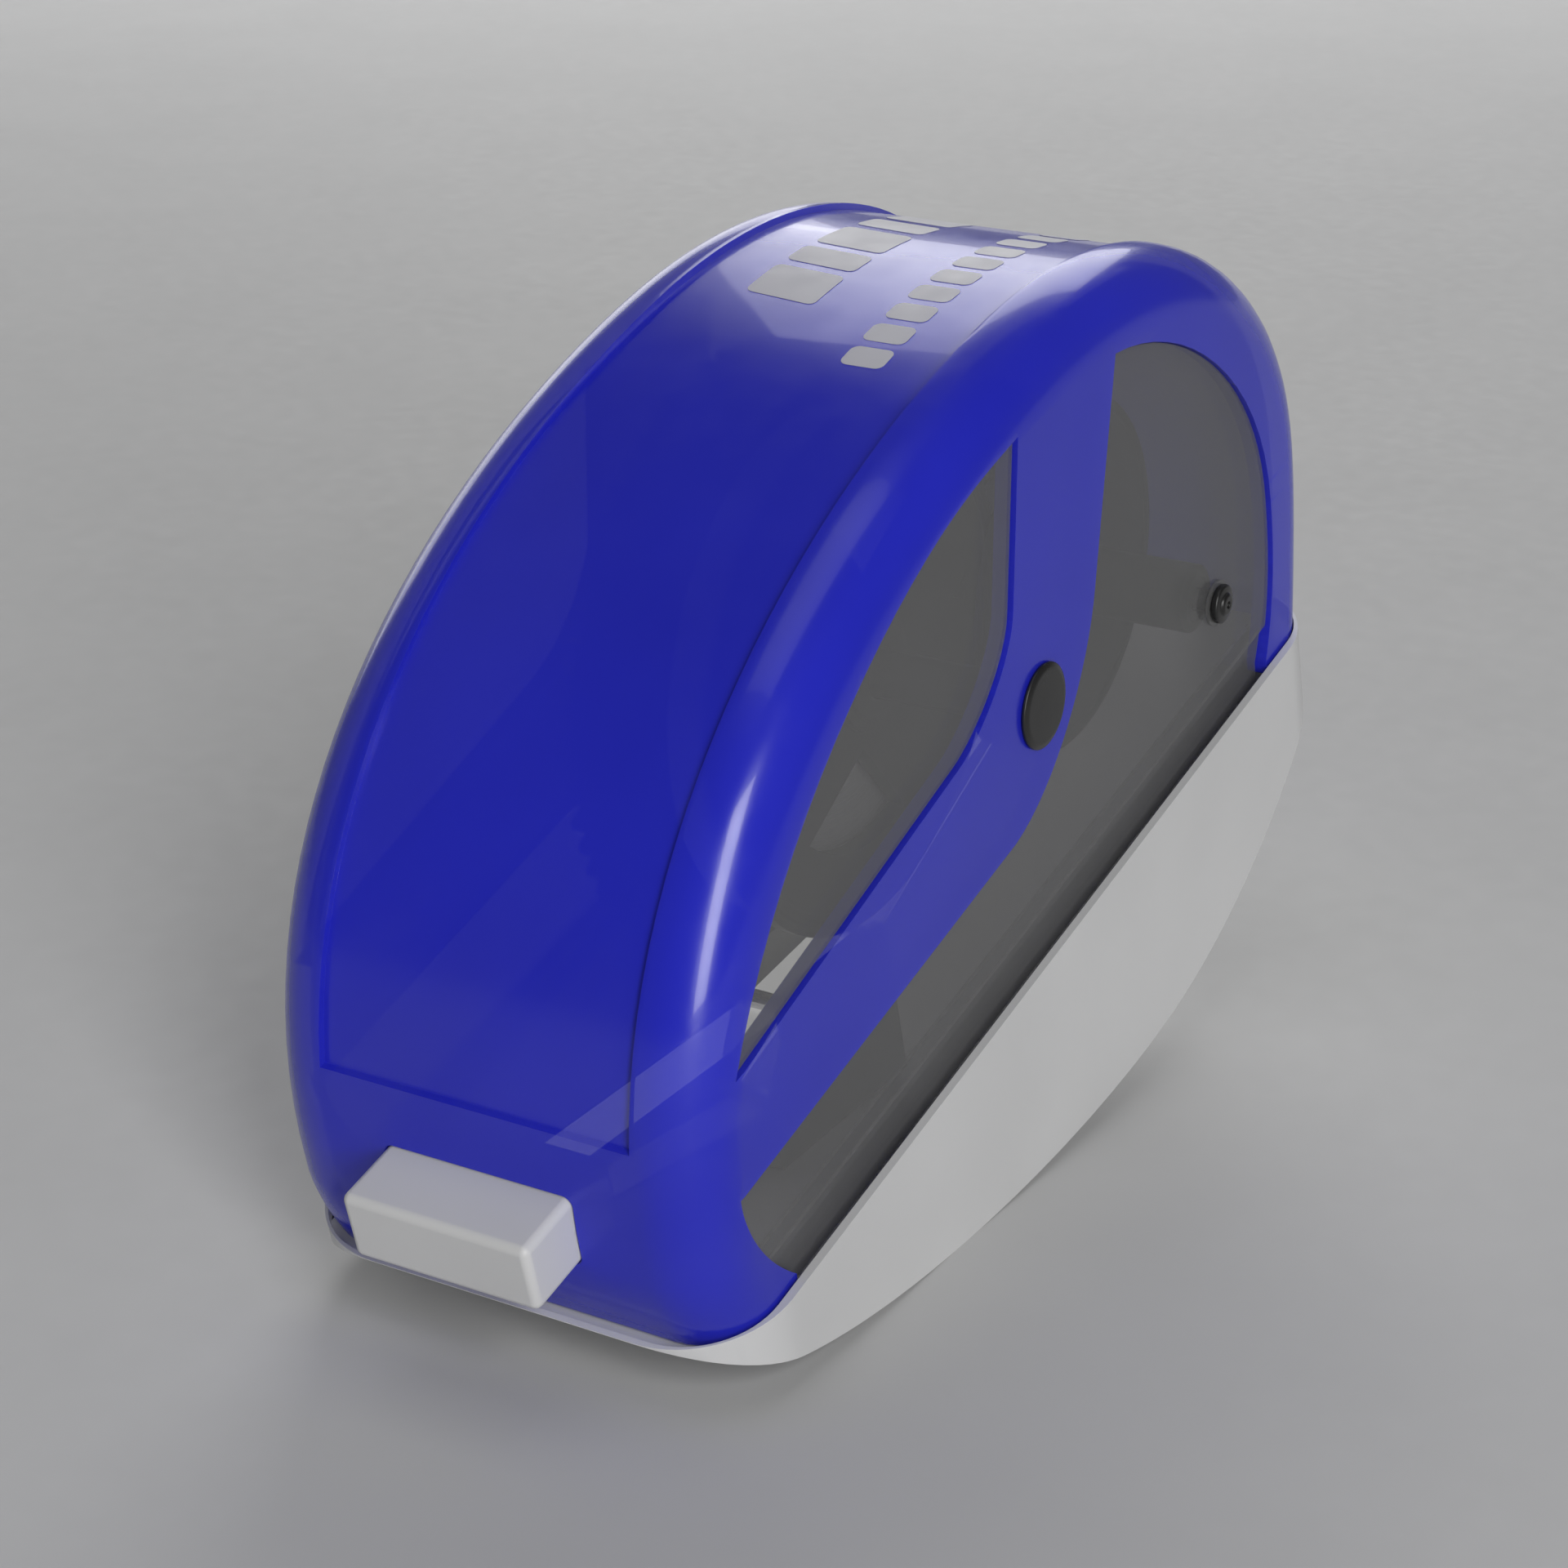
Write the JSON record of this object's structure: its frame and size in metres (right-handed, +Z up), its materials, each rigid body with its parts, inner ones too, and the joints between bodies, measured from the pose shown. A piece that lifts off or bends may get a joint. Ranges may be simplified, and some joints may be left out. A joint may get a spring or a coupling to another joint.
{
  "type": "correction tape roller",
  "caption": "Palm-size correction tape roller: domed casing with smoked side windows on a crescent base, tip head with roller, geared supply and take-up reels inside.",
  "frame": {"origin": "centre of the underside of the bounding box, on the surface the roller rests on", "axes": "+Z up, +X from the tape tip towards the back, Y across the casing along the reel axles; the casing leans 15.4 degrees nose-down about Y, as it lies on its curved base"},
  "size_m": [0.071, 0.0262, 0.047],
  "materials": {
    "blue_casing": "polished translucent blue",
    "white_shell": "satin moulded",
    "smoked_pane": "clear smoked grey, polished",
    "black_plastic": "satin moulded",
    "grey_plastic": "moulded, fine texture",
    "steel": "drawn pin",
    "white_tape": "matt white correction film on carrier",
    "paper_backing": "matt glassine carrier",
    "clutch_felt": "pressed felt"
  },
  "bodies": {
    "casing": {"housing_dome": "blue_casing", "base_shell": "white_shell", "window_front_near": "smoked_pane", "window_front_far": "smoked_pane", "window_rear_near": "smoked_pane", "window_rear_far": "smoked_pane", "tip_head": "white_shell", "tip_pin": "steel", "takeup_post": "grey_plastic", "post_spacer": "grey_plastic", "post_screw": "black_plastic", "screw_washer": "smoked_pane", "bridge_plate": "grey_plastic", "tape_guide": "grey_plastic", "guide_pin_rear": "steel", "guide_pin_front": "steel", "return_pin": "steel", "tape_strip": "white_tape"},
    "supply_reel": {"supply_spool": "grey_plastic", "tape_roll": "white_tape", "supply_gear": "grey_plastic", "main_axle": "grey_plastic", "button_near": "black_plastic", "button_far": "black_plastic"},
    "takeup_reel": {"takeup_spool": "grey_plastic", "takeup_roll": "paper_backing", "clutch_ring": "clutch_felt"},
    "takeup_pinion": {"takeup_gear": "grey_plastic"},
    "tip_wheel": {"tip_roller": "black_plastic"}
  },
  "joints": [
    {"name": "supply_spin", "type": "hinge", "parent": "casing", "child": "supply_reel", "pos_m": [-0.00009, 0, 0.02652], "axis": [0, 1, 0], "continuous": true},
    {"name": "takeup_spin", "type": "hinge", "parent": "casing", "child": "takeup_reel", "pos_m": [0.02123, 0, 0.02568], "axis": [0, 1, 0], "continuous": true},
    {"name": "takeup_gear_spin", "type": "hinge", "parent": "casing", "child": "takeup_pinion", "pos_m": [0.02123, 0, 0.02568], "axis": [0, 1, 0], "continuous": true},
    {"name": "tip_roller_spin", "type": "hinge", "parent": "casing", "child": "tip_wheel", "pos_m": [-0.03274, 0, 0.0079], "axis": [0, 1, 0], "continuous": true}
  ],
  "couplings": [
    {"joint": "takeup_gear_spin", "follows": "supply_spin", "ratio": -2.8636},
    {"joint": "takeup_spin", "follows": "supply_spin", "ratio": -2.4815},
    {"joint": "tip_roller_spin", "follows": "supply_spin", "ratio": -14.105}
  ]
}
